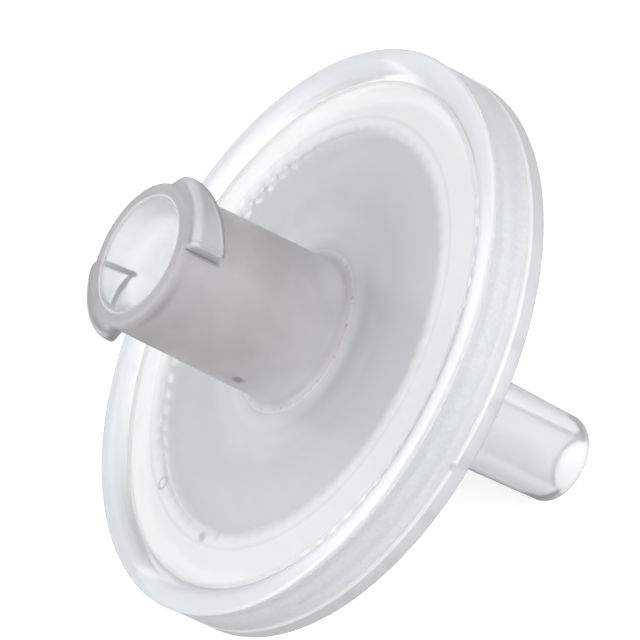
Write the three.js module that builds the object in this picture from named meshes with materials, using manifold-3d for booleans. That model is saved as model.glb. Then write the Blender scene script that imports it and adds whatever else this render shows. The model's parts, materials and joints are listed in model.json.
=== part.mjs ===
// Syringe filter of the 25 mm class: a flat round disc of two moulded polypropylene halves, welded at the
// rim with a filter membrane between them. The inlet is a female Luer lock hub with two lugs, and the outlet
// is a male Luer slip tip. Sizes are in millimetres.
//
// Each piece is drawn about the flow axis, which is local Z: the inlet points to +Z, and z = 0 is the crest
// of the lip round the inlet face. At the end the whole filter is laid down as it comes to rest.

import * as THREE from 'three';
import { mergeVertices } from 'three/addons/utils/BufferGeometryUtils.js';
import Module from 'manifold-3d';

const wasm = await Module();
wasm.setup();

// ---- Driving dimensions ----

// Rounding and clearance
const SEGMENTS = 60;            // flats round the axis: an even number, so that two lie opposite each other
const CURVE_STEPS = 3;          // straight steps in a small rounded edge
const CLEARANCE = 0.25;         // left between one piece and the next

// Membrane
const FILTER_RADIUS = 9.4;      // the part of the membrane that liquid passes through
const CLAMP_WIDTH = 1.6;        // the edge of the membrane that the two halves hold
const MEMBRANE_THICKNESS = 0.2;

// Disc, through its thickness from the lip's crest to the back
const FACE_RECESS = 0.35;       // inlet face below the lip's crest
const INLET_PLATE = 0.6;
const SEAL_STEP = 0.25;         // sealing ring below the inlet plate
const RIB_HEIGHT = 0.4;         // supporting ribs above the outlet plate
const OUTLET_PLATE = 0.6;
const FLANGE_HEIGHT = 0.8;      // the outlet half's edge, below the weld line

// Disc, outwards from the membrane's edge
const LAND_MARGIN = 0.5;        // outlet half's land beyond the membrane
const SKIRT_WALL = 1.33;        // side band of the inlet half
const LIP_OVERHANG = 0.05;      // lip proud of the side band
const LIP_WIDTH = 1.4;
const LIP_ROUND = 0.12;
const GROOVE_WIDTH = 0.24;      // fine groove along the lip's inner foot
const GROOVE_DEPTH = 0.12;
const FLANGE_ROUND = 0.08;

// Teeth round the inner edge of the sealing ring
const TOOTH_COUNT = 72;
const TOOTH_DEPTH = 0.35;
const TOOTH_SHARE = 0.5;        // tooth width as a share of the pitch

// Supporting ribs of the outlet half
const RIB_PAIRS = 12;           // each pair is one long rib and one short rib
const RIB_WIDTH = 0.5;
const RIB_CLEAR = 0.9;          // open ring between the outlet bore and the long ribs
const SHORT_RIB_SETBACK = 2.6;  // short ribs start this much further out than the long ones
const CROSS_GROOVES = 3;        // ring grooves that cross the ribs
const CROSS_GROOVE_WIDTH = 0.45;
const CROSS_GROOVE_DEPTH = 0.22;

// Luer fittings: both cones open by 6 % of their length
const LUER_TAPER = 0.06 / 2;    // change of radius per millimetre of length
const INLET_BORE_RADIUS = 2.15; // where the lead-in ends
const LEAD_IN_RADIUS = 2.5;     // flare of the bore, just inside the rounded mouth
const LEAD_IN_DEPTH = 1;
const HUB_RADIUS = 3.28;        // at the mouth
const HUB_HEIGHT = 8.35;        // mouth above the lip's crest
const HUB_DRAFT = 0.01;         // radius gained per millimetre towards the disc
const HUB_FILLET = 0.25;
const MOUTH_ROUND = 0.18;
const THROAT_LENGTH = 1.2;      // narrow passage between the Luer bore and the membrane chamber
const THROAT_STEP = 0.6;        // radius lost where the bore narrows to the throat
const OUTLET_LENGTH = 12.8;     // tip below the disc's back face
const OUTLET_TIP_RADIUS = 2.01;
const OUTLET_BORE_RADIUS = 1.1;
const OUTLET_FILLET = 1.1;
const TIP_ROUND = 0.45;

// Lugs of the Luer lock
const LUG_HEIGHT = 0.6;         // proud of the hub
const LUG_ARC = THREE.MathUtils.degToRad(82);
const LUG_ENTRY_ARC = THREE.MathUtils.degToRad(16);
const LUG_ENTRY_THICKNESS = 0.55;
const LUG_LEAD = 5;             // advance of the lock's thread in one full turn
const LUG_SETBACK = 0.15;       // behind the mouth
const LUG_ROUND = 0.28;         // front edge
const LUG_END_ROUND = 0.4;      // outer corner of the square end
const LUG_ROOT = 0.35;          // depth that a lug reaches into the hub's wall
const LUG_STEPS = 12;
const LUG_CLOCKING = THREE.MathUtils.degToRad(51);  // entry end of the first lug

// ---- Levels along the axis and radii that follow from them ----

const mouthZ = HUB_HEIGHT;
const leadInZ = mouthZ - LEAD_IN_DEPTH;
const faceZ = -FACE_RECESS;
const ceilingZ = faceZ - INLET_PLATE;
const sealZ = ceilingZ - SEAL_STEP;
const membraneZ = sealZ - CLEARANCE - MEMBRANE_THICKNESS / 2;
const landZ = membraneZ - MEMBRANE_THICKNESS / 2 - CLEARANCE;
const floorZ = landZ - RIB_HEIGHT;
const backZ = floorZ - OUTLET_PLATE;
const flangeTopZ = backZ + FLANGE_HEIGHT;
const skirtEndZ = flangeTopZ + CLEARANCE;
const tipZ = backZ - OUTLET_LENGTH;

const membraneRadius = FILTER_RADIUS + CLAMP_WIDTH;
const landRadius = membraneRadius + LAND_MARGIN;
const socketRadius = landRadius + CLEARANCE;
const bandRadius = socketRadius + SKIRT_WALL;
const lipRadius = bandRadius + LIP_OVERHANG;
const grooveRadius = lipRadius - LIP_WIDTH;

const hubRadiusAt = (z) => HUB_RADIUS + HUB_DRAFT * (mouthZ - z);
const boreEndZ = ceilingZ + THROAT_LENGTH;
const boreEndRadius = INLET_BORE_RADIUS - LUER_TAPER * (leadInZ - boreEndZ);
const throatRadius = boreEndRadius - THROAT_STEP;
const outletRadiusAt = (z) => OUTLET_TIP_RADIUS + LUER_TAPER * (z - tipZ);

// ---- Solids ----

// A closed three.js geometry as a solid that can be joined and cut.
function solidOf(geometry) {
  const shape = geometry.clone();
  shape.deleteAttribute('normal');
  shape.deleteAttribute('uv');
  const merged = mergeVertices(shape);
  return new wasm.Manifold(new wasm.Mesh({
    numProp: 3,
    vertProperties: new Float32Array(merged.attributes.position.array),
    triVerts: new Uint32Array(merged.index.array),
  }));
}

// A finished solid as a named mesh.
function meshOf(name, solid, material) {
  const { vertProperties, triVerts } = solid.getMesh();
  const geometry = new THREE.BufferGeometry();
  geometry.setAttribute('position', new THREE.BufferAttribute(vertProperties, 3));
  geometry.setIndex(new THREE.BufferAttribute(triVerts, 1));
  geometry.computeVertexNormals();
  const mesh = new THREE.Mesh(geometry, material);
  mesh.name = name;
  return mesh;
}

// A profile of radius and height, revolved about the flow axis. Profiles run up the inside and down the
// outside, and the lathe takes them the other way round. A flat, not a corner, faces local -X.
function revolve(profile) {
  profile.closePath();
  const points = profile.getPoints(CURVE_STEPS).reverse();
  const geometry = new THREE.LatheGeometry(points, SEGMENTS, Math.PI / 2 - Math.PI / SEGMENTS);
  geometry.rotateX(Math.PI / 2);
  return solidOf(geometry);
}

// A flat outline, extruded up from the level z.
function raise(shape, z, height) {
  const geometry = new THREE.ExtrudeGeometry(shape, { depth: height, bevelEnabled: false });
  geometry.translate(0, 0, z);
  return solidOf(geometry);
}

const polar = (radius, angle) => new THREE.Vector2(radius * Math.cos(angle), radius * Math.sin(angle));

// ---- Inlet half ----

function inletProfile() {
  const p = new THREE.Path();
  // Luer bore, from the throat up to the flared and rounded mouth
  p.moveTo(throatRadius, ceilingZ);
  p.lineTo(throatRadius, boreEndZ - THROAT_STEP / 2);
  p.lineTo(boreEndRadius, boreEndZ);
  p.lineTo(INLET_BORE_RADIUS, leadInZ);
  p.lineTo(LEAD_IN_RADIUS, mouthZ - MOUTH_ROUND);
  p.quadraticCurveTo(LEAD_IN_RADIUS + MOUTH_ROUND / 3, mouthZ, LEAD_IN_RADIUS + MOUTH_ROUND, mouthZ);
  // down the outside of the hub to its fillet
  p.lineTo(HUB_RADIUS - MOUTH_ROUND, mouthZ);
  p.quadraticCurveTo(HUB_RADIUS, mouthZ, HUB_RADIUS, mouthZ - MOUTH_ROUND);
  p.lineTo(hubRadiusAt(faceZ + HUB_FILLET), faceZ + HUB_FILLET);
  p.quadraticCurveTo(hubRadiusAt(faceZ), faceZ, hubRadiusAt(faceZ) + HUB_FILLET, faceZ);
  // across the face, through the fine groove and over the lip
  p.lineTo(grooveRadius - GROOVE_WIDTH / 2, faceZ);
  p.lineTo(grooveRadius, faceZ - GROOVE_DEPTH);
  p.lineTo(grooveRadius + GROOVE_WIDTH / 2, faceZ);
  p.quadraticCurveTo(grooveRadius + LIP_WIDTH / 3, 0, lipRadius - LIP_WIDTH / 3, 0);
  p.lineTo(lipRadius - LIP_ROUND, -LIP_ROUND / 3);
  p.quadraticCurveTo(lipRadius, -LIP_ROUND / 2, lipRadius, -LIP_ROUND - LIP_ROUND / 3);
  p.lineTo(bandRadius, -LIP_ROUND - LIP_ROUND / 3 - LIP_OVERHANG);
  // down the side band and back up inside it to the sealing ring
  p.lineTo(bandRadius, skirtEndZ);
  p.lineTo(socketRadius, skirtEndZ);
  p.lineTo(socketRadius, sealZ);
  p.lineTo(FILTER_RADIUS, sealZ);
  p.lineTo(FILTER_RADIUS, ceilingZ);
  return p;
}

// The gaps between the teeth round the chamber: a ring outline whose outer edge steps in and out.
function toothGaps() {
  const outline = new THREE.Shape();
  const pitch = 2 * Math.PI / TOOTH_COUNT;
  const gap = pitch * (1 - TOOTH_SHARE);
  const overlap = 0.1;          // reaches into the open chamber, so that the cut leaves no skin
  for (let i = 0; i < TOOTH_COUNT; i += 1) {
    const start = i * pitch;
    const corners = [
      polar(FILTER_RADIUS - overlap, start),
      polar(FILTER_RADIUS + TOOTH_DEPTH, start),
      polar(FILTER_RADIUS + TOOTH_DEPTH, start + gap),
      polar(FILTER_RADIUS - overlap, start + gap),
    ];
    for (const corner of corners) {
      if (i === 0 && corner === corners[0]) outline.moveTo(corner.x, corner.y);
      else outline.lineTo(corner.x, corner.y);
    }
  }
  outline.closePath();
  return raise(outline, sealZ - CLEARANCE, SEAL_STEP + CLEARANCE);
}

// One lug: it rises smoothly at its entry end, and its back follows the lock's thread to a square end,
// whose outer corner is rounded.
function lug(clocking) {
  const frontZ = mouthZ - LUG_SETBACK;
  const thicknessAt = (turned) => LUG_ENTRY_THICKNESS + LUG_LEAD * turned / (2 * Math.PI);
  const depth = thicknessAt(LUG_ARC);
  const endRoundArc = LUG_END_ROUND / (HUB_RADIUS + LUG_HEIGHT);
  const radiusAt = (turned) => {
    const rise = THREE.MathUtils.smoothstep(turned, 0, LUG_ENTRY_ARC);
    const cornerShare = Math.max(1 - (LUG_ARC - turned) / endRoundArc, 0);
    const cut = LUG_END_ROUND * (1 - Math.sqrt(1 - cornerShare ** 2));
    return HUB_RADIUS - LUG_ROUND / 2 + (LUG_HEIGHT + LUG_ROUND / 2) * rise - cut;
  };
  const steps = [];
  for (let i = 0; i <= LUG_STEPS; i += 1) steps.push((LUG_ARC - endRoundArc) * i / LUG_STEPS);
  for (let i = 1; i <= CURVE_STEPS; i += 1) steps.push(LUG_ARC - endRoundArc * (1 - i / CURVE_STEPS));
  const outer = steps.map((turned) => polar(radiusAt(turned), clocking - turned));
  const root = steps.map((turned) => polar(HUB_RADIUS - LUG_ROOT, clocking - turned));
  const outline = new THREE.Shape([...outer, ...root.reverse()]);
  const geometry = new THREE.ExtrudeGeometry(outline, { depth, bevelEnabled: false });
  const points = geometry.attributes.position;
  for (let i = 0; i < points.count; i += 1) {
    const angle = Math.atan2(points.getY(i), points.getX(i));
    const turned = THREE.MathUtils.euclideanModulo(clocking - angle + Math.PI, 2 * Math.PI) - Math.PI;
    const atBack = points.getZ(i) < depth / 2;
    points.setZ(i, frontZ - (atBack ? thicknessAt(turned) : 0));
  }
  return solidOf(geometry);
}

// The round body that the lugs are turned to, which rounds their front edges.
function lugEnvelope() {
  const outer = HUB_RADIUS + LUG_HEIGHT;
  const inner = HUB_RADIUS - 2 * LUG_ROOT;
  const frontZ = mouthZ - LUG_SETBACK;
  const endZ = mouthZ - LUG_SETBACK - LUG_LEAD;
  const p = new THREE.Path();
  p.moveTo(inner, endZ);
  p.lineTo(inner, frontZ);
  p.lineTo(outer - LUG_ROUND, frontZ);
  p.quadraticCurveTo(outer, frontZ, outer, frontZ - LUG_ROUND);
  p.lineTo(outer, endZ);
  return revolve(p);
}

function inletHousing() {
  const lugs = lug(LUG_CLOCKING).add(lug(LUG_CLOCKING + Math.PI));
  return revolve(inletProfile()).add(lugs.intersect(lugEnvelope())).subtract(toothGaps());
}

// ---- Outlet half ----

// The rounded end of the outlet tip, from its side to its flat end.
const tipSide = new THREE.Vector2(outletRadiusAt(tipZ + TIP_ROUND), tipZ + TIP_ROUND);
const tipCorner = new THREE.Vector2(OUTLET_TIP_RADIUS, tipZ);
const tipEnd = new THREE.Vector2(OUTLET_TIP_RADIUS - TIP_ROUND, tipZ);
const tipCurve = new THREE.QuadraticBezierCurve(tipSide, tipCorner, tipEnd);

// The rounded outer corner of the disc's back, from its side to its back face.
const flangeSide = new THREE.Vector2(bandRadius, backZ + FLANGE_ROUND);
const flangeCorner = new THREE.Vector2(bandRadius, backZ);
const flangeEnd = new THREE.Vector2(bandRadius - FLANGE_ROUND, backZ);
const flangeCurve = new THREE.QuadraticBezierCurve(flangeSide, flangeCorner, flangeEnd);

function outletProfile() {
  const p = new THREE.Path();
  // land that carries the membrane, then out over the step to the flange
  p.moveTo(OUTLET_BORE_RADIUS, landZ);
  p.lineTo(landRadius, landZ);
  p.lineTo(landRadius, flangeTopZ);
  p.lineTo(bandRadius - FLANGE_ROUND / 2, flangeTopZ);
  p.lineTo(bandRadius, flangeTopZ - FLANGE_ROUND / 2);
  p.lineTo(flangeSide.x, flangeSide.y);
  p.curves.push(flangeCurve);
  p.currentPoint.copy(flangeEnd);
  // in across the back to the fillet, then down the Luer cone to the rounded tip
  const filletZ = backZ - OUTLET_FILLET;
  p.lineTo(outletRadiusAt(backZ) + OUTLET_FILLET, backZ);
  p.quadraticCurveTo(outletRadiusAt(backZ), backZ, outletRadiusAt(filletZ), filletZ);
  p.lineTo(tipSide.x, tipSide.y);
  p.curves.push(tipCurve);
  p.currentPoint.copy(tipEnd);
  p.lineTo(OUTLET_BORE_RADIUS, tipZ);
  return p;
}

// The space between the ribs: a round pool with long and short ribs standing in from its edge.
function ribChannels() {
  const outline = new THREE.Shape();
  const ribs = 2 * RIB_PAIRS;
  const pitch = 2 * Math.PI / ribs;
  const half = RIB_WIDTH / 2;
  const rootLength = Math.sqrt(FILTER_RADIUS ** 2 - half ** 2);
  const longRibStart = OUTLET_BORE_RADIUS + RIB_CLEAR;
  for (let i = 0; i < ribs; i += 1) {
    const angle = i * pitch;
    const start = longRibStart + (i % 2) * SHORT_RIB_SETBACK;
    const corners = [[rootLength, -half], [start, -half], [start, half], [rootLength, half]];
    const centre = new THREE.Vector2();
    for (const [along, across] of corners) {
      const corner = new THREE.Vector2(along, across).rotateAround(centre, angle);
      if (i === 0 && corner.equals(new THREE.Vector2(rootLength, -half))) outline.moveTo(corner.x, corner.y);
      else outline.lineTo(corner.x, corner.y);
    }
    const edge = polar(FILTER_RADIUS, angle + pitch / 2);
    outline.lineTo(edge.x, edge.y);
  }
  outline.closePath();
  return raise(outline, floorZ, RIB_HEIGHT + CLEARANCE);
}

// Ring grooves across the ribs, spaced evenly between the long ribs' inner ends and the pool's edge.
function crossGrooves() {
  const first = OUTLET_BORE_RADIUS + RIB_CLEAR;
  const spacing = (FILTER_RADIUS - first) / (CROSS_GROOVES + 1);
  const rings = [];
  for (let i = 1; i <= CROSS_GROOVES; i += 1) {
    const middle = first + i * spacing;
    const p = new THREE.Path();
    p.moveTo(middle - CROSS_GROOVE_WIDTH / 2, landZ - CROSS_GROOVE_DEPTH);
    p.lineTo(middle - CROSS_GROOVE_WIDTH / 2, landZ + CLEARANCE);
    p.lineTo(middle + CROSS_GROOVE_WIDTH / 2, landZ + CLEARANCE);
    p.lineTo(middle + CROSS_GROOVE_WIDTH / 2, landZ - CROSS_GROOVE_DEPTH);
    rings.push(revolve(p));
  }
  return rings;
}

function outletHousing() {
  let housing = revolve(outletProfile()).subtract(ribChannels());
  for (const groove of crossGrooves()) housing = housing.subtract(groove);
  return housing;
}

// ---- Membrane ----

function membrane() {
  const geometry = new THREE.CylinderGeometry(membraneRadius, membraneRadius, MEMBRANE_THICKNESS, SEGMENTS);
  geometry.rotateX(Math.PI / 2);
  geometry.translate(0, 0, membraneZ);
  return solidOf(geometry);
}

// ---- Assembly ----

const inletPlastic = new THREE.MeshStandardMaterial({ color: 0xd5d9dc, roughness: 0.3, metalness: 0 });
const outletPlastic = new THREE.MeshStandardMaterial({ color: 0xdde1e4, roughness: 0.3, metalness: 0 });
const membraneWhite = new THREE.MeshStandardMaterial({ color: 0xcfd4d7, roughness: 0.9, metalness: 0 });

const filter = new THREE.Group();
filter.add(meshOf('inlet_housing', inletHousing(), inletPlastic));
filter.add(meshOf('membrane', membrane(), membraneWhite));
filter.add(meshOf('outlet_housing', outletHousing(), outletPlastic));

// The filter lies on its flange and its outlet tip. The floor is the line through one point of each rounded
// edge with every other point above it, so of all such lines it is the flattest for each flange point and
// the steepest over them all. Flats face the floor, so radii count as far as the middle of a flat.
const flatReach = Math.cos(Math.PI / SEGMENTS);
const tipPoints = tipCurve.getPoints(CURVE_STEPS);
const flangePoints = flangeCurve.getPoints(CURVE_STEPS);
const leanFrom = (edge) => Math.min(...tipPoints.map(
  (tip) => Math.atan2((edge.x - tip.x) * flatReach, edge.y - tip.y),
));
const axisRise = Math.max(...flangePoints.map(leanFrom));
filter.rotation.y = axisRise - Math.PI / 2;

// The origin is under the middle of the filter, on the floor.
filter.updateMatrixWorld(true);
const bounds = new THREE.Box3().setFromObject(filter, true);
const centre = bounds.getCenter(new THREE.Vector3());
filter.position.set(-centre.x, -centre.y, -bounds.min.z);

const part = new THREE.Group();
part.add(filter);

export default part;
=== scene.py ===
import json
import math

import bmesh
import bpy
from mathutils import Matrix, Vector


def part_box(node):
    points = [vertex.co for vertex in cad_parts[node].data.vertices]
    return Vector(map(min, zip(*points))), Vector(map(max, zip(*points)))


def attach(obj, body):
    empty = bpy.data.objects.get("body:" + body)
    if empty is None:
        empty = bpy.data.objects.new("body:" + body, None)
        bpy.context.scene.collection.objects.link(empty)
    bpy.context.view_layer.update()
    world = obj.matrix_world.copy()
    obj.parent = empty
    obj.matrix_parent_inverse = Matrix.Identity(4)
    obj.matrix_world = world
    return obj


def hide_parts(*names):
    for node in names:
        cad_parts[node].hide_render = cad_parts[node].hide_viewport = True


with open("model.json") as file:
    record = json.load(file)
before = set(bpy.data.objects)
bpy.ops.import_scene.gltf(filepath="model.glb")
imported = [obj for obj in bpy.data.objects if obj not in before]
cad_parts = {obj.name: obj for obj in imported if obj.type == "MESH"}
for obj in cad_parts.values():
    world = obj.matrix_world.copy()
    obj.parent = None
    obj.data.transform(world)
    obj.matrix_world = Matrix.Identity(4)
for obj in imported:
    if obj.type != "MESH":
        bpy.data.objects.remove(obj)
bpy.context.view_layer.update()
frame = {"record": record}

# The filter's own axes. Every piece is drawn in millimetres about the flow axis, with the inlet up and zero
# at the crest of the lip round the inlet face, and is then laid down as the filter lies at rest.
MM = 0.001
MEMBRANE_LEVEL = -1.55

flow = Vector(frame["record"]["mounts"][0]["axis"])
across = Vector((0.0, 1.0, 0.0))
membrane_low, membrane_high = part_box("membrane")
crest_centre = (membrane_low + membrane_high) / 2 - flow * MEMBRANE_LEVEL * MM
turn = Matrix((across.cross(flow), across, flow)).transposed()
laid = Matrix.Translation(crest_centre) @ turn.to_4x4() @ Matrix.Scale(MM, 4)

# Camera. A long lens looks down on the filter from in front, turned a little so that the hub comes towards
# it on the left and the outlet shows behind the disc on the right.
LOOKS_DOWN = 49.22
TURNED_ASIDE = -2.83
ROLLED = -1.99
STANDS_OFF = Vector((1.265, 0.349, 257.37))

camera_data = bpy.data.cameras.new("camera")
camera_data.sensor_width = 36.0
camera_data.lens = 337.5
camera_data.clip_start = 0.01
camera_data.clip_end = 10.0
camera = bpy.data.objects.new("camera", camera_data)
bpy.context.scene.collection.objects.link(camera)
gaze = (Matrix.Rotation(math.radians(TURNED_ASIDE), 3, "Z")
        @ Matrix.Rotation(math.radians(90 - LOOKS_DOWN), 3, "X")
        @ Matrix.Rotation(math.radians(ROLLED), 3, "Z"))
stand = crest_centre + gaze @ STANDS_OFF * MM
camera.matrix_world = Matrix.Translation(stand) @ gaze.to_4x4()
bpy.context.scene.camera = camera
bpy.context.scene.view_settings.view_transform = "Standard"


# Studio. A white table in a light tent, with two large soft lamps that give the plastic its highlights. The
# tent is brightest at its sides and its top, and a dark panel hangs high behind the filter.
class Value:
    """A value in a material's nodes. Arithmetic on values adds Math nodes."""

    def __init__(self, tree, socket=None):
        self.tree = tree
        self.socket = socket

    def node(self, kind, settings=None, inputs=None, output=0):
        """Adds a node of any kind. Its settings come first, then the values or links of its sockets."""
        made = self.tree.nodes.new(kind)
        for name, setting in (settings or {}).items():
            setattr(made, name, setting)
        for name, given in (inputs or {}).items():
            if isinstance(given, Value):
                self.tree.links.new(given.socket, made.inputs[name])
            else:
                made.inputs[name].default_value = given
        return Value(self.tree, made.outputs[output] if len(made.outputs) else None)

    def maths(self, operation, *others):
        return self.node("ShaderNodeMath", {"operation": operation}, dict(enumerate((self, *others))))

    def __add__(self, other):
        return self.maths("ADD", other)

    def __sub__(self, other):
        return self.maths("SUBTRACT", other)

    def __rsub__(self, other):
        return self.node("ShaderNodeMath", {"operation": "SUBTRACT"}, {0: other, 1: self})

    def __mul__(self, other):
        return self.maths("MULTIPLY", other)

    __radd__ = __add__
    __rmul__ = __mul__

    def part(self, axis):
        """One of the three parts of this vector."""
        return self.node("ShaderNodeSeparateXYZ", inputs={"Vector": self}, output=axis)

    def along(self, direction):
        """How far this vector reaches along a fixed direction."""
        return self.node("ShaderNodeVectorMath", {"operation": "DOT_PRODUCT"}, {0: self, 1: direction},
                         output="Value")

    def rise(self, start, end):
        """0 up to the start, 1 past the end and smooth between. An end below the start turns it round."""
        return self.node("ShaderNodeMapRange", {"interpolation_type": "SMOOTHSTEP"}, {
            "Value": self, "From Min": min(start, end), "From Max": max(start, end),
            "To Min": float(start > end), "To Max": float(start < end)})

    def colour(self, low, high):
        """The low colour where this value is 0 and the high colour where it is 1."""
        ends = {0: self}
        for socket, end in ((6, low), (7, high)):
            ends[socket] = end if isinstance(end, Value) else (*end, 1.0)
        return self.node("ShaderNodeMix", {"data_type": "RGBA"}, ends, output=2)


def empty_tree(owner):
    owner.use_nodes = True
    owner.node_tree.nodes.clear()
    return Value(owner.node_tree)


PANEL_DIRECTION = (0.2, 0.83, 0.52)
world = bpy.data.worlds.new("light_tent")
bpy.context.scene.world = world
tent = empty_tree(world)
way = tent.node("ShaderNodeTexCoord", output="Generated")
sideways, onwards, upwards = [way.part(axis) for axis in "XYZ"]
at_panel = way.along(PANEL_DIRECTION)
strength = 1.1 + 0.4 * sideways * sideways + 0.08 * onwards - 0.25 * onwards * onwards
strength = strength + 0.2 * upwards.rise(0.6, 1.0) - 0.8 * at_panel.rise(0.4, 0.92)
glow = tent.node("ShaderNodeBackground", inputs={"Color": (1.0, 1.0, 1.0, 1.0), "Strength": strength})
tent.node("ShaderNodeOutputWorld", inputs={"Surface": glow})

TABLE_RADIUS = 2.0
TABLE_GREY = (0.5, 0.5, 0.5, 1.0)
floor_shape = bmesh.new()
bmesh.ops.create_circle(floor_shape, cap_ends=True, segments=64, radius=TABLE_RADIUS)
floor_data = bpy.data.meshes.new("table_top")
floor_shape.to_mesh(floor_data)
floor_shape.free()
floor = bpy.data.objects.new("table_top", floor_data)
bpy.context.scene.collection.objects.link(floor)
table = bpy.data.materials.new("white_table")
top = empty_tree(table)
paint = top.node("ShaderNodeBsdfDiffuse", inputs={"Color": TABLE_GREY})
seen = top.node("ShaderNodeLightPath", output="Is Camera Ray")
mirrored = top.node("ShaderNodeLightPath", output="Is Glossy Ray")
through = top.node("ShaderNodeLightPath", output="Is Transmission Ray")
lift = top.node("ShaderNodeEmission", inputs={"Strength": 0.72 * seen + 0.12 * mirrored + 0.7 * through})
both = top.node("ShaderNodeAddShader", inputs={0: paint, 1: lift})
top.node("ShaderNodeOutputMaterial", inputs={"Surface": both})
floor_data.materials.append(table)

SOFTBOX_SIZE = 0.3
SOFTBOX_DISTANCE = 0.4


def softbox(name, direction, power):
    lamp_data = bpy.data.lights.new(name, "AREA")
    lamp_data.shape = "SQUARE"
    lamp_data.size = SOFTBOX_SIZE
    lamp_data.energy = power
    lamp = bpy.data.objects.new(name, lamp_data)
    place = Vector(direction).normalized() * SOFTBOX_DISTANCE
    lamp.matrix_world = Matrix.Translation(place) @ place.to_track_quat("Z", "Y").to_matrix().to_4x4()
    bpy.context.scene.collection.objects.link(lamp)


softbox("left_softbox", direction=(-1.0, -0.3, 0.2), power=0.4)
softbox("right_softbox", direction=(0.7, -0.6, 0.6), power=0.35)

# Inlet half. One injection moulding of natural polypropylene: a thin plate with a raised lip, a side band
# and a Luer lock hub. The membrane shows through the plate, and the band is welded to the other half.
WINDOW_RADIUS = 9.4
SHOULDER_RADIUS = 11.75
RIM_RADIUS = 13.08
MOUTH = 8.35
PLATE_TOP = -0.35
CHAMBER_TOP = -0.95
RING_FACE = -1.2
BAND_FOOT = -2.0
INLET_CORNERS = (
    # radius, level, rounding
    (1.34, CHAMBER_TOP, 0.08),
    (1.34, -0.05, 0.05),
    (1.94, 0.25, 0.12),
    (2.15, 7.35, 0.3),
    (2.55, MOUTH, 0.15),
    (3.28, MOUTH, 0.16),
    (3.37, PLATE_TOP, 0.22),
    (11.6, PLATE_TOP, 0.06),
    (11.73, -0.47, 0.05),
    (11.86, -0.33, 0.06),
    (12.25, 0.0, 0.28),
    (13.03, 0.0, 0.05),
    (13.13, -0.13, 0.04),
    (RIM_RADIUS, -0.22, 0.03),
    (RIM_RADIUS, BAND_FOOT, 0.05),
    (SHOULDER_RADIUS, BAND_FOOT, 0.05),
    (SHOULDER_RADIUS, RING_FACE, 0.05),
    (WINDOW_RADIUS, RING_FACE, 0.04),
    (WINDOW_RADIUS, CHAMBER_TOP, 0.06),
)
FLOW_CENTRE = (0.0, 0.0, 0.0)
FLOW_AXIS = (0.0, 0.0, 1.0)
SAME_POINT = 1e-5
SHARP_EDGE = math.radians(35)


def outline(corners):
    """A flat outline of corners, each a radius, a level and a rounding."""
    shape = bmesh.new()
    points = [shape.verts.new((radius, 0.0, level)) for radius, level, rounding in corners]
    shape.faces.new(points)
    for rounding in sorted({corner[2] for corner in corners if corner[2] > 0}):
        sharp = [point for point, corner in zip(points, corners) if corner[2] == rounding]
        bmesh.ops.bevel(shape, geom=sharp, offset=rounding, offset_type="OFFSET", affect="VERTICES",
                        segments=4 if rounding < 0.25 else 8, profile=0.5, material=-1)
    return shape


def turned(corners):
    """An outline turned about the flow axis."""
    shape = outline(corners)
    bmesh.ops.delete(shape, geom=shape.faces[:], context="FACES_ONLY")
    bmesh.ops.spin(shape, geom=shape.verts[:] + shape.edges[:], cent=FLOW_CENTRE, axis=FLOW_AXIS,
                   angle=math.tau, steps=360, use_merge=True)
    bmesh.ops.remove_doubles(shape, verts=shape.verts[:], dist=SAME_POINT)
    bmesh.ops.recalc_face_normals(shape, faces=shape.faces[:])
    return shape


def repeated(shape, count):
    """Copies of a shape, spaced evenly round the flow axis."""
    bmesh.ops.spin(shape, geom=shape.verts[:] + shape.edges[:] + shape.faces[:], cent=FLOW_CENTRE,
                   axis=FLOW_AXIS, angle=math.tau * (count - 1) / count, steps=count - 1, use_duplicate=True)
    return shape


def object_of(name, shape):
    data = bpy.data.meshes.new(name)
    shape.to_mesh(data)
    shape.free()
    made = bpy.data.objects.new(name, data)
    bpy.context.scene.collection.objects.link(made)
    return made


def worked(shape, tool, operation):
    """The shape with a second one joined to it or cut from it."""
    blank, cutter = object_of("blank", shape), object_of("cutter", tool)
    modifier = blank.modifiers.new("work", "BOOLEAN")
    modifier.operation = operation
    modifier.solver = "MANIFOLD"
    modifier.object = cutter
    result = bmesh.new()
    result.from_object(blank, bpy.context.evaluated_depsgraph_get())
    bpy.data.objects.remove(blank)
    bpy.data.objects.remove(cutter)
    bmesh.ops.remove_doubles(result, verts=result.verts[:], dist=SAME_POINT)
    return result


def finished(name, shape, node):
    """The piece, laid down at rest and smooth but for its sharp edges, in place of its plain node."""
    bmesh.ops.transform(shape, matrix=laid, verts=shape.verts[:])
    for face in shape.faces:
        face.smooth = True
    for edge in shape.edges:
        edge.smooth = edge.calc_face_angle(0.0) < SHARP_EDGE
    piece = object_of(name, shape)
    weighted = piece.modifiers.new("flat_faces_stay_flat", "WEIGHTED_NORMAL")
    weighted.keep_sharp = True
    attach(piece, "root")
    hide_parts(node)
    return piece


# Lock lugs, part of the same moulding. Each one rises out of the hub at its thin end, and its back follows
# the thread of a syringe's collar to the square end, where it is thickest. Its front is next to the mouth.
LUG_ARC = 82
LUG_CLOCKING = 51
LUG_ENTRY_ARC = 16
LUG_FRONT = 8.2
LUG_THIN = 0.55
LUG_THICK = 1.69
LUG_BLANK = 1.0
LUG_BURIED = 3.1
LUG_OUTSIDE = 3.88
LUG_END_ROUND = 0.4
LUG_END = math.radians(LUG_CLOCKING - LUG_ARC)
LUG_CORNERS = (
    (2.93, LUG_FRONT - LUG_BLANK, 0.0),
    (2.93, LUG_FRONT + 0.1, 0.0),
    (LUG_BURIED, LUG_FRONT + 0.13, 0.0),
    (LUG_OUTSIDE, LUG_FRONT, 0.28),
    (LUG_OUTSIDE, LUG_FRONT - LUG_BLANK, 0.08),
)

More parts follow.
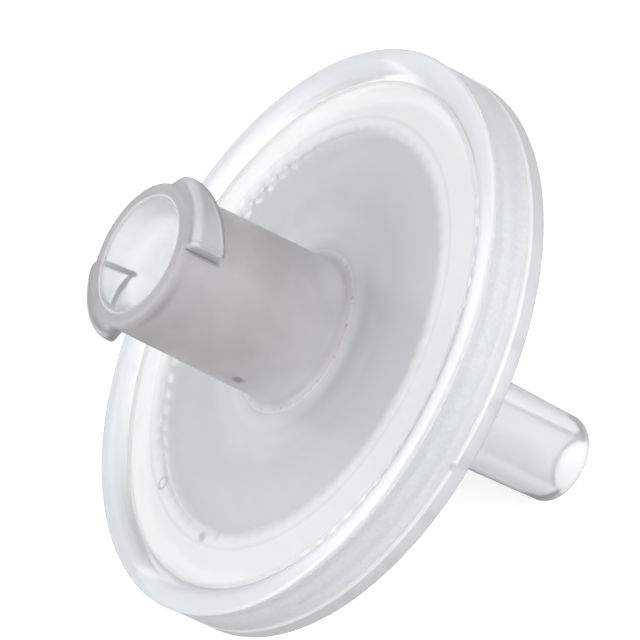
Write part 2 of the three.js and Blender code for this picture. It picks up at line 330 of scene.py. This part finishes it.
# One lug is turned from its outline at an even size. Then its outside is drawn in towards both ends, and its
# back moves away from the mouth along the thread.
lugs = outline(LUG_CORNERS)
bmesh.ops.spin(lugs, geom=lugs.faces[:] + lugs.edges[:] + lugs.verts[:], cent=FLOW_CENTRE,
               axis=FLOW_AXIS, angle=math.radians(LUG_ARC), steps=LUG_ARC)
bmesh.ops.recalc_face_normals(lugs, faces=lugs.faces[:])
for point in lugs.verts:
    radius = point.co.to_2d().length
    to_end = math.atan2(point.co.y, point.co.x)
    to_start = math.radians(LUG_ARC) - to_end
    risen = min(to_start / math.radians(LUG_ENTRY_ARC), 1.0)
    risen = risen * risen * (3 - 2 * risen)
    corner = 1.0 - min(to_end * LUG_OUTSIDE / LUG_END_ROUND, 1.0)
    height = (LUG_OUTSIDE - LUG_BURIED) * risen - LUG_END_ROUND * (1 - math.sqrt(1 - corner * corner))
    if radius > LUG_BURIED:
        reached = LUG_BURIED + (radius - LUG_BURIED) * height / (LUG_OUTSIDE - LUG_BURIED)
        point.co.x *= reached / radius
        point.co.y *= reached / radius
    if point.co.z < LUG_FRONT - LUG_BLANK / 2:
        point.co.z += LUG_BLANK - LUG_THICK + (LUG_THICK - LUG_THIN) * to_end / math.radians(LUG_ARC)
bmesh.ops.rotate(lugs, verts=lugs.verts[:], matrix=Matrix.Rotation(LUG_END, 3, "Z"))
inlet_shape = worked(turned(INLET_CORNERS), repeated(lugs, 2), "UNION")

# Teeth round the inner edge of the sealing ring, which presses on the membrane's edge. The gaps between them
# let the liquid spread over the whole window.
TOOTH_COUNT = 72
TOOTH_GAP = Vector((0.5, 0.41, 0.4))
TOOTH_GAP_RADIUS = 9.5
gaps = bmesh.new()
bmesh.ops.create_cube(gaps, size=1.0)
bmesh.ops.scale(gaps, vec=TOOTH_GAP, verts=gaps.verts[:])
bmesh.ops.translate(gaps, vec=(TOOTH_GAP_RADIUS, 0.0, CHAMBER_TOP - TOOTH_GAP.z / 2), verts=gaps.verts[:])
inlet_shape = worked(inlet_shape, repeated(gaps, TOOTH_COUNT), "DIFFERENCE")
inlet_half = finished("inlet_half", inlet_shape, "inlet_housing")


def place_on(tree):
    """The place on a piece, in millimetres about the flow axis."""
    here = tree.node("ShaderNodeTexCoord", output="Object")
    return tree.node("ShaderNodeMapping", {"vector_type": "TEXTURE"}, {
        "Vector": here, "Location": crest_centre, "Rotation": turn.to_euler(), "Scale": (MM, MM, MM)})


def radius_of(place):
    """The distance from the flow axis."""
    flat = place.node("ShaderNodeVectorMath", {"operation": "MULTIPLY"}, {0: place, 1: (1.0, 1.0, 0.0)})
    return place.node("ShaderNodeVectorMath", {"operation": "LENGTH"}, {0: flat}, output="Value")


def bearing_of(place):
    """The angle round the flow axis from the uphill side."""
    return place.part("Y").maths("ARCTAN2", place.part("X"))


def noise(place, scale, detail=2.0):
    return place.node("ShaderNodeTexNoise", inputs={"Vector": place, "Scale": scale, "Detail": detail})


def distance_from(place, radius, bearing, level):
    """The distance from one point, given by its radius, bearing in degrees and level."""
    turned_by = math.radians(bearing)
    point = Vector((radius * math.cos(turned_by), radius * math.sin(turned_by), level))
    return place.node("ShaderNodeVectorMath", {"operation": "DISTANCE"}, {0: place, 1: point},
                      output="Value")


POLYPROPYLENE_IOR = 1.49
SCATTER_DEPTH = 0.0008
GRAIN_DEPTH = 0.00005
UNTINTED = (1.0, 1.0, 1.0)


def polypropylene(tree, clear_tint, milky_tint, haze, roughness, relief):
    """Natural polypropylene: part of the light passes straight on, and the haze is scattered inside it."""
    clear = tree.node("ShaderNodeBsdfPrincipled", inputs={
        "Base Color": clear_tint, "Roughness": roughness, "IOR": POLYPROPYLENE_IOR,
        "Transmission Weight": 1.0, "Normal": relief})
    milky = tree.node("ShaderNodeBsdfPrincipled", inputs={
        "Base Color": milky_tint, "Roughness": roughness, "IOR": POLYPROPYLENE_IOR,
        "Subsurface Weight": 1.0, "Subsurface Radius": (1.0, 1.0, 1.0), "Subsurface Scale": SCATTER_DEPTH,
        "Normal": relief})
    return tree.node("ShaderNodeMixShader", inputs={0: haze, 1: clear, 2: milky})


# The inlet half's plastic. It is milkiest in the thick hub, clear over the membrane and finely textured on
# the side band. A dark speck sits in the hub, and two marks and a gate's ring on the plate.
CLEAR_PLATE = (0.95, 0.965, 0.985)
CLEAR_LIP = (0.89, 0.92, 0.955)
CLEAR_BAND = (0.78, 0.805, 0.835)
CLEAR_HUB = (0.6, 0.575, 0.6)
MILKY_PLATE = (0.93, 0.955, 0.985)
MILKY_LIP = (0.79, 0.82, 0.86)
MILKY_BAND = (0.66, 0.685, 0.715)
MILKY_BAND_GRAIN = (0.84, 0.865, 0.895)
MILKY_HUB = (0.48, 0.45, 0.46)
DARK_SPECK = (0.26, 0.21, 0.23)
LUG_EDGE_PAINTED_SHADE = (0.38, 0.38, 0.4)
LUG_INSIDE_EDGE_PAINTED_SHADE = (0.03, 0.03, 0.03)
LUG_INSIDE_PAINTED_SHADE = (0.74, 0.79, 0.78)
STRIPE_PHASE = 24.0  # radians for each millimetre

inlet_material = bpy.data.materials.new("inlet_polypropylene")
plastic = empty_tree(inlet_material)
place = place_on(plastic)
radius = radius_of(place)
bearing = bearing_of(place)
level = place.part("Z")
entering = 1.0 - plastic.node("ShaderNodeNewGeometry", output="Backfacing")
normal = plastic.node("ShaderNodeNewGeometry", output="Normal")
grain = noise(place, 6.0, 3.0)
clouds = noise(place, 0.9)
warp = 0.25 * noise(place, 3.0)

# Regions of the moulding, each 1 inside and 0 outside, with soft edges between two radii or levels.
on_foot = radius.rise(4.2, 3.95) * level.rise(-0.34, -0.2)
on_hub = on_foot.maths("MAXIMUM", radius.rise(3.85, 3.7))
# The bore is kept out of the hub's grey and made milkier: painted light for the light shining through its
# wall.
bore_painted_light = radius.rise(2.75, 2.45) * level.rise(-0.2, 0.3)
outside = on_hub * (1.0 - bore_painted_light)
near_mouth = level.rise(5.6, 6.6)
# Painted highlight: a thin milky white ring on the rounding at the mouth's edge.
mouth_edge_painted_highlight = radius.rise(2.65, 2.68) * radius.rise(2.74, 2.71) * level.rise(8.0, 8.2)
under_foot = 0.2 * radius.rise(6.5, 4.5) + 0.45 * radius.rise(4.8, 3.7)
teeth = (bearing * TOOTH_COUNT).maths("SINE")
on_ring = (radius + 0.025 * teeth).rise(9.2, 9.75) * radius.rise(11.65, 11.45)
on_ring = on_ring * (1.0 - 0.25 * radius.rise(9.86, 9.96) * radius.rise(10.14, 10.04))
on_lip = radius.rise(11.8, 12.1)
on_band = radius.rise(12.95, 13.05) * level.rise(-0.15, -0.3)

# The lugs, the painted shade on the edges of their square ends and backs, the painted highlight on their
# front rims, and the flow lines in those ends.
on_lug = radius.rise(3.3, 3.5) * level.rise(6.3, 6.5)
# Painted highlight: the rounded rims of the lugs' fronts are painted lighter and milkier.
lug_rim_highlights = radius.rise(3.55, 3.68) * radius.rise(3.92, 3.84) * level.rise(7.8, 7.95)
from_end = place.along((math.sin(LUG_END), -math.cos(LUG_END), 0.0)).maths("ABSOLUTE")
# Painted shade: the square ends' edges and the backs are tinted dark.
lug_end_painted_shade = from_end.rise(0.18, 0.08) * radius.rise(3.1, 3.3) * level.rise(6.3, 6.5)
lug_back_painted_shade = normal.along(flow).maths("ABSOLUTE").rise(0.8, 0.95) * on_lug * level.rise(8.0, 7.8)
lug_painted_shade_edges = lug_end_painted_shade.maths("MAXIMUM", lug_back_painted_shade)
stripes = from_end.rise(0.6, 0.35) * (0.5 + 0.5 * (STRIPE_PHASE * from_end).maths("SINE")) * on_lug

# Specks and marks.
foot_specks = noise(place, 4.5).rise(0.6, 0.68) * radius.rise(4.7, 4.2) * radius.rise(3.5, 3.6)
foot_specks = foot_specks * level.rise(0.0, -0.2)
speck = (distance_from(place, 3.35, -111.8, 2.17) + warp).rise(0.5, 0.25)
blots = (distance_from(place, 9.7, -137.0, PLATE_TOP) + warp).rise(0.5, 0.24)
blots = blots + 0.6 * (distance_from(place, 9.5, -130.4, PLATE_TOP) + warp).rise(0.4, 0.2)
gate = distance_from(place, 9.6, -167.5, PLATE_TOP)
blots = blots + gate.rise(0.16, 0.26) * gate.rise(0.4, 0.3)

# How strong the hub's warm grey is, how milky the plastic is, and its tints.
# The hub's grey is painted lighter towards the plate: painted light that lifts the shade at its foot.
tone = outside * (0.88 + 0.24 * clouds - 0.35 * level.rise(4.0, 0.0) - 0.35 * level.rise(7.8, 8.15))
# The lugs are lighter, and their rims lighter still as a painted highlight.
tone = tone - 0.2 * outside * on_lug * (1.0 + lug_rim_highlights) + 0.8 * blots + 0.5 * stripes + 0.35 * foot_specks
foot_tone = 0.6 * radius.rise(4.8, 3.7) * (1.0 - bore_painted_light) * level.rise(3.0, 0.0)
milky_tone = tone.maths("MAXIMUM", foot_tone)
milkiness = 0.2 + outside * (0.65 - 0.32 * near_mouth + 0.12 * level.rise(0.1, -0.1)) - 0.2 * on_lug
milkiness = milkiness + 0.2 * lug_rim_highlights * on_lug + 0.1 * blots + 0.2 * stripes + 0.5 * mouth_edge_painted_highlight
milkiness = milkiness + 0.2 * bore_painted_light + 0.15 * radius.rise(9.1, 9.5) + under_foot * level.rise(-0.2, -0.34)
milkiness = milkiness + 0.25 * on_ring + 0.4 * on_band + 0.8 * lug_painted_shade_edges + 0.33 * on_lip * (1.0 - on_band)
clear_disc = on_band.colour(on_lip.colour(CLEAR_PLATE, CLEAR_LIP), CLEAR_BAND)
clear_tint = tone.colour(clear_disc, CLEAR_HUB)
milky_band = grain.colour(MILKY_BAND, MILKY_BAND_GRAIN)
milky_disc = on_band.colour(on_lip.colour(MILKY_PLATE, MILKY_LIP), milky_band)
milky_tint = speck.colour(milky_tone.colour(milky_disc, MILKY_HUB), DARK_SPECK)
# Painted shade on the lug edges, darkest where seen from inside the plastic.
lug_edge_painted_shade_tint = entering.colour(LUG_INSIDE_EDGE_PAINTED_SHADE, LUG_EDGE_PAINTED_SHADE)
# Painted shade: light leaving the plastic through a lug is tinted grey-green, darkening the lug seen through
# the bore.
leaving_painted_shade_tint = on_lug.colour(UNTINTED, LUG_INSIDE_PAINTED_SHADE)
relief = plastic.node("ShaderNodeBump", inputs={
    "Strength": 0.04 + 0.3 * on_band, "Distance": GRAIN_DEPTH, "Height": grain})
body = polypropylene(plastic,
                     clear_tint=entering.colour(leaving_painted_shade_tint, clear_tint),
                     milky_tint=lug_painted_shade_edges.colour(milky_tint, lug_edge_painted_shade_tint),
                     haze=entering.maths("MAXIMUM", lug_painted_shade_edges) * milkiness,
                     roughness=0.14 + 0.06 * grain + 0.15 * on_band + 0.2 * outside,
                     relief=relief)
plastic.node("ShaderNodeOutputMaterial", inputs={"Surface": body})
inlet_half.data.materials.append(inlet_material)

# Membrane. A thin microporous sheet, matt and pale grey, pressed flat and whiter at its edge, where the two
# halves clamp it. Its grey in the window is partly its own colour and partly painted shade from the plate
# over it, and near the hub it is painted lighter and pinker.
SHEET_RADIUS = 11.0
SHEET_TOP = -1.46
SHEET_PRESSED = -1.5
SHEET_BACK = -1.64
# The window's grey: partly the sheet's own colour, partly painted shade.
SHEET_GREY_AND_PAINTED_SHADE = (0.73, 0.765, 0.79)
# Painted light near the hub: a lighter, pinker tint that lifts the hub's shadow and paints in its
# reflection.
SHEET_PAINTED_HUB_LIGHT = (0.82, 0.8, 0.83)
SHEET_WHITE = (0.99, 1.0, 1.0)
FIBRE_DEPTH = 0.00002
MEMBRANE_CORNERS = (
    (0.0, SHEET_BACK, 0.0),
    (0.0, SHEET_TOP, 0.0),
    (9.3, SHEET_TOP, 0.1),
    (9.5, SHEET_PRESSED, 0.1),
    (SHEET_RADIUS, SHEET_PRESSED, 0.03),
    (SHEET_RADIUS, SHEET_BACK, 0.03),
)
membrane = finished("filter_membrane", turned(MEMBRANE_CORNERS), "membrane")
sheet = bpy.data.materials.new("microporous_sheet")
paper = empty_tree(sheet)
place = place_on(paper)
radius = radius_of(place)
pressed = (bearing_of(place) * TOOTH_COUNT).maths("SINE").rise(-0.3, 0.3)
whiteness = radius.rise(9.65, 9.8) + radius.rise(9.8, 9.7) * radius.rise(9.3, 9.4) * (0.7 + 0.12 * pressed)
whiteness = whiteness + 0.5 * radius.rise(9.28, 9.36) * radius.rise(9.48, 9.4)
# Painted light round the hub, lifting its shadow on the sheet and painting in its reflection.
painted_hub_light = radius.rise(6.5, 3.5)
fibre = noise(place, 30.0, 4.0)
sheet_tint = whiteness.colour(painted_hub_light.colour(SHEET_GREY_AND_PAINTED_SHADE, SHEET_PAINTED_HUB_LIGHT), SHEET_WHITE)
relief = paper.node("ShaderNodeBump", inputs={"Strength": 0.3, "Distance": FIBRE_DEPTH, "Height": fibre})
body = paper.node("ShaderNodeBsdfPrincipled", inputs={
    "Base Color": sheet_tint, "Roughness": 0.85 + 0.1 * fibre, "Normal": relief})
paper.node("ShaderNodeOutputMaterial", inputs={"Surface": body})
membrane.data.materials.append(sheet)

# Outlet half. The second moulding, of the same plastic: a plate with ribs that carry the membrane, a flange
# that is welded to the side band, and the long cone of the Luer outlet.
OUTLET_BORE = 1.1
CHAMBER_FLOOR = -2.3
RIB_TOP = -1.9
WELD_LEVEL = -2.04
DISC_BACK = -2.9
OUTLET_TIP = -15.7
OUTLET_CORNERS = (
    (OUTLET_BORE, CHAMBER_FLOOR, 0.1),
    (WINDOW_RADIUS, CHAMBER_FLOOR, 0.05),
    (WINDOW_RADIUS, RIB_TOP, 0.05),
    (11.5, RIB_TOP, 0.05),
    (11.5, WELD_LEVEL, 0.03),
    (RIM_RADIUS, WELD_LEVEL, 0.16),
    (RIM_RADIUS, DISC_BACK, 0.08),
    (2.39, DISC_BACK, 1.1),
    (2.01, OUTLET_TIP, 0.45),
    (OUTLET_BORE, OUTLET_TIP, 0.1),
)
RIB_COUNT = 12
RIB_WIDTH = 0.5
RIB_FOOT = CHAMBER_FLOOR - 0.05
LONG_RIB_START = 2.0
SHORT_RIB_START = 4.6
RIB_END = 9.5
NOTCH_FLOOR = -2.12
NOTCH_HALF = 0.22
NOTCH_RADII = (3.85, 5.7, 7.55)


def ribs(start):
    """Ribs from their inner ends to the chamber's wall, notched where the ring grooves cross them."""
    side = [(start, RIB_FOOT), (start, RIB_TOP)]
    for notch in NOTCH_RADII:
        if notch > start:
            near, far = notch - NOTCH_HALF, notch + NOTCH_HALF
            side += [(near, RIB_TOP), (near, NOTCH_FLOOR), (far, NOTCH_FLOOR), (far, RIB_TOP)]
    side += [(RIB_END, RIB_TOP), (RIB_END, RIB_FOOT)]
    shape = bmesh.new()
    face = shape.faces.new([shape.verts.new((along, -RIB_WIDTH / 2, level)) for along, level in side])
    pushed = bmesh.ops.extrude_face_region(shape, geom=[face], use_keep_orig=True)
    bmesh.ops.translate(shape, vec=(0.0, RIB_WIDTH, 0.0),
                        verts=[item for item in pushed["geom"] if isinstance(item, bmesh.types.BMVert)])
    bmesh.ops.recalc_face_normals(shape, faces=shape.faces[:])
    return repeated(shape, RIB_COUNT)


long_ribs = ribs(LONG_RIB_START)
short_ribs = ribs(SHORT_RIB_START)
bmesh.ops.rotate(short_ribs, verts=short_ribs.verts[:], matrix=Matrix.Rotation(math.pi / RIB_COUNT, 3, "Z"))
outlet_shape = worked(worked(turned(OUTLET_CORNERS), long_ribs, "UNION"), short_ribs, "UNION")
outlet_half = finished("outlet_half", outlet_shape, "outlet_housing")

# The outlet half's plastic. It darkens with depth, so the outlet's walls are darker than its middle. Along
# the weld line on the flange, a painted highlight shows as a milky white line, with one nick in it.
MILKY_OUTLET = (0.84, 0.85, 0.875)
DEEP_TINT = (0.2, 0.26, 0.3, 1.0)
DEEP_DENSITY = 170.0

outlet_material = bpy.data.materials.new("outlet_polypropylene")
plastic = empty_tree(outlet_material)
place = place_on(plastic)
radius = radius_of(place)
level = place.part("Z")
entering = 1.0 - plastic.node("ShaderNodeNewGeometry", output="Backfacing")
grain = noise(place, 6.0, 3.0)
relief = plastic.node("ShaderNodeBump", inputs={"Strength": 0.04, "Distance": GRAIN_DEPTH, "Height": grain})
on_rim = radius.rise(11.4, 11.8)
nick = distance_from(place, RIM_RADIUS, -59.5, -2.19)
# Painted highlight along the flange's rounded top edge, broken at the nick.
weld_painted_highlight = on_rim * level.rise(-2.3, -2.2) * nick.rise(0.1, 0.25)
body = polypropylene(plastic,
                     clear_tint=(*UNTINTED, 1.0),
                     milky_tint=weld_painted_highlight.colour(MILKY_OUTLET, UNTINTED),
                     haze=entering * (0.45 + 0.2 * on_rim + 0.25 * weld_painted_highlight),
                     roughness=0.14 + 0.06 * grain,
                     relief=relief)
depth = plastic.node("ShaderNodeVolumeAbsorption", inputs={"Color": DEEP_TINT, "Density": DEEP_DENSITY})
plastic.node("ShaderNodeOutputMaterial", inputs={"Surface": body, "Volume": depth})
outlet_half.data.materials.append(outlet_material)
